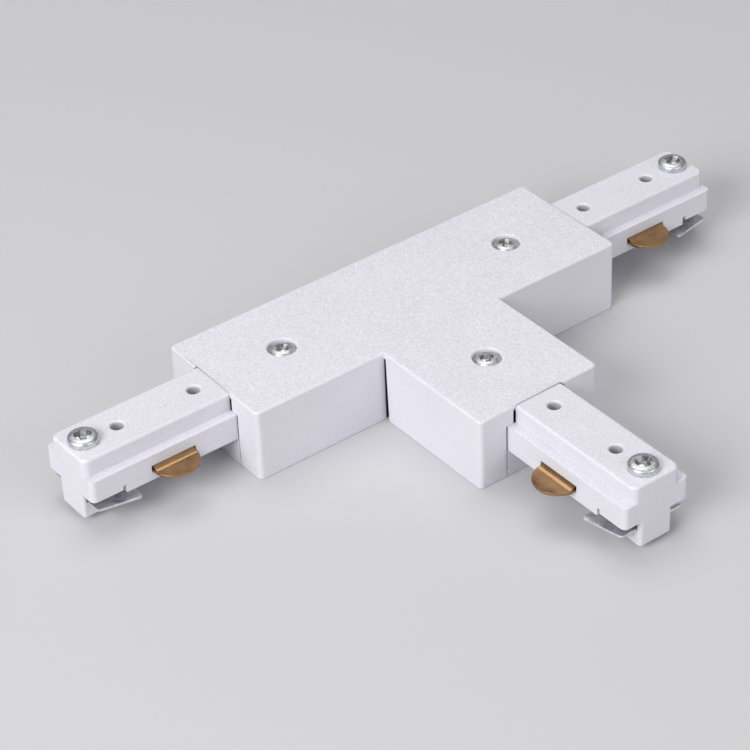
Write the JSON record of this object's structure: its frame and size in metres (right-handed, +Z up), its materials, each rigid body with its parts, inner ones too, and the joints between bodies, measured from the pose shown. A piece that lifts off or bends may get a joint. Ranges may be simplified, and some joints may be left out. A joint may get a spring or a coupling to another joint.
{
  "type": "lighting track T connector",
  "caption": "Flat T-shaped connector for a lighting track, with plug arms that carry brass side contacts and a screw-driven clamp plate.",
  "frame": {"origin": "on the underside, where the centre line of the bar crosses the centre line of the stem", "axes": "+X along the bar, the stem points to -Y, +Z up out of the screwed top"},
  "size_m": [0.1818, 0.1067, 0.0203],
  "materials": {
    "white_plastic": "fine matte texture on the faces, slightly smoother sides",
    "screw_steel": "bright zinc plate",
    "plate_steel": "zinc plated sheet, plain cut edges",
    "strip_steel": "plain rolled strip",
    "contact_brass": "polished, bright cut edges",
    "bus_brass": "plain rolled strip",
    "sheet_plastic": "plain sheet"
  },
  "bodies": {
    "connector": {"housing": "white_plastic", "base_plate": "white_plastic", "cover_screw_left": "screw_steel", "arm_body_left": "white_plastic", "arm_cover_left": "white_plastic", "contact_left_front": "contact_brass", "contact_left_back": "contact_brass", "earth_strip_left": "strip_steel", "cover_screw_right": "screw_steel", "arm_body_right": "white_plastic", "arm_cover_right": "white_plastic", "contact_right_front": "contact_brass", "contact_right_back": "contact_brass", "earth_strip_right": "strip_steel", "cover_screw_stem": "screw_steel", "arm_body_stem": "white_plastic", "arm_cover_stem": "white_plastic", "contact_stem_right": "contact_brass", "contact_stem_left": "contact_brass", "earth_strip_stem": "strip_steel", "bus_rear": "bus_brass", "bus_front": "bus_brass", "earth_bus": "strip_steel", "crossing_insulator": "sheet_plastic"},
    "clamp_plate_left": {"clamp_plate_left": "plate_steel"},
    "clamp_plate_right": {"clamp_plate_right": "plate_steel"},
    "clamp_plate_stem": {"clamp_plate_stem": "plate_steel"},
    "lock_screw_left": {"lock_screw_left": "screw_steel"},
    "lock_screw_right": {"lock_screw_right": "screw_steel"},
    "lock_screw_stem": {"lock_screw_stem": "screw_steel"}
  },
  "joints": [
    {"name": "lock_screw_left_turn", "type": "hinge", "parent": "connector", "child": "lock_screw_left", "pos_m": [-0.0864, 0, 0.0182], "axis": [0, 0, -1], "range_deg": [0, 720]},
    {"name": "clamp_plate_left_lift", "type": "slide", "parent": "connector", "child": "clamp_plate_left", "axis": [0, 0, 1], "range_m": [0, 0.0012]},
    {"name": "lock_screw_right_turn", "type": "hinge", "parent": "connector", "child": "lock_screw_right", "pos_m": [0.0864, 0, 0.0182], "axis": [0, 0, -1], "range_deg": [0, 720]},
    {"name": "clamp_plate_right_lift", "type": "slide", "parent": "connector", "child": "clamp_plate_right", "axis": [0, 0, 1], "range_m": [0, 0.0012]},
    {"name": "lock_screw_stem_turn", "type": "hinge", "parent": "connector", "child": "lock_screw_stem", "pos_m": [0, -0.0852, 0.0182], "axis": [0, 0, -1], "range_deg": [0, 720]},
    {"name": "clamp_plate_stem_lift", "type": "slide", "parent": "connector", "child": "clamp_plate_stem", "axis": [0, 0, 1], "range_m": [0, 0.0012]}
  ],
  "couplings": [
    {"joint": "lock_screw_left_turn", "follows": "clamp_plate_left_lift", "rad_per_m": 10472},
    {"joint": "lock_screw_right_turn", "follows": "clamp_plate_right_lift", "rad_per_m": 10472},
    {"joint": "lock_screw_stem_turn", "follows": "clamp_plate_stem_lift", "rad_per_m": 10472}
  ]
}
